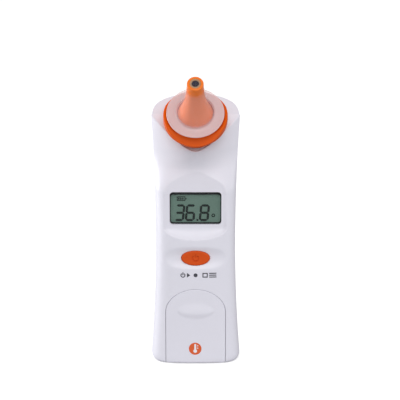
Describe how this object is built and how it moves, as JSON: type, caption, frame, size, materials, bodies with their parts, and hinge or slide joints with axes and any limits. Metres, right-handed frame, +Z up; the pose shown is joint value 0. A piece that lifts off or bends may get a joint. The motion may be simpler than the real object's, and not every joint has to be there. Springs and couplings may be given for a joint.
{
  "type": "ear thermometer",
  "caption": "Upright infrared ear thermometer with a slanted head, heated probe under a film cover, ejector collar, display, mode and scan buttons and a sliding battery door.",
  "frame": {"origin": "centre of the flat foot that the thermometer stands on", "axes": "+Z up the handle towards the head, -Y towards the front with the display and the probe, +X to the right of someone facing the display"},
  "size_m": [0.0406, 0.0487, 0.1346],
  "materials": {
    "shell_white": "fine spark-eroded ABS",
    "lens_clear": "clear acrylic",
    "mask_black": "black print",
    "lcd": "reflective liquid crystal display",
    "zebra": "layered silicone connector",
    "board": "green solder mask",
    "chip_black": "epoxy",
    "button_orange": "satin ABS",
    "switch_metal": "stamped",
    "tray_grey": "moulded ABS",
    "cell_steel": "nickel plated",
    "contact_nickel": "nickel plated spring steel",
    "screw_steel": "zinc plated",
    "probe_orange": "satin ABS",
    "seal_rubber": "soft",
    "guide_gold": "gold plated",
    "holder_copper": "turned",
    "sensor_can": "nickel plated",
    "window_dark": "coated silicon",
    "flex_amber": "polyimide",
    "cover_film": "milky polyethylene film"
  },
  "bodies": {
    "housing": {"front_shell": "shell_white", "rear_shell": "shell_white", "display_lens": "lens_clear", "display_mask": "mask_black", "lcd_glass": "lcd", "zebra_strips": "zebra", "main_board": "board", "board_chips": "chip_black", "mode_switch": "switch_metal", "scan_switch": "switch_metal", "buzzer": "chip_black", "battery_tray": "tray_grey", "battery_cell": "cell_steel", "battery_contact_positive": "contact_nickel", "battery_contact_negative": "contact_nickel", "case_screws": "screw_steel", "board_screws": "screw_steel", "probe_nozzle": "probe_orange", "nozzle_seal": "seal_rubber", "waveguide": "guide_gold", "sensor_holder": "holder_copper", "sensor_can": "sensor_can", "sensor_window": "window_dark", "sensor_flex": "flex_amber"},
    "mode_button": {"mode_button": "button_orange"},
    "scan_button": {"scan_button": "button_orange"},
    "battery_door": {"battery_door": "shell_white"},
    "eject_ring": {"eject_ring": "probe_orange"},
    "probe_cover": {"probe_cover": "cover_film"}
  },
  "joints": [
    {"name": "mode_press", "type": "slide", "parent": "housing", "child": "mode_button", "axis": [0, 1, 0], "range_m": [0, 0.0006], "stiffness_N_per_m": 1500},
    {"name": "scan_press", "type": "slide", "parent": "housing", "child": "scan_button", "axis": [0, -1, 0], "range_m": [0, 0.0006], "stiffness_N_per_m": 1500},
    {"name": "door_slide", "type": "slide", "parent": "housing", "child": "battery_door", "axis": [0, 0, -1], "range_m": [0, 0.036]},
    {"name": "eject_slide", "type": "slide", "parent": "housing", "child": "eject_ring", "axis": [0, -0.766, 0.6428], "range_m": [0, 0.0025], "stiffness_N_per_m": 600},
    {"name": "cover_pull", "type": "slide", "parent": "eject_ring", "child": "probe_cover", "axis": [0, -0.766, 0.6428], "range_m": [0, 0.028]}
  ]
}
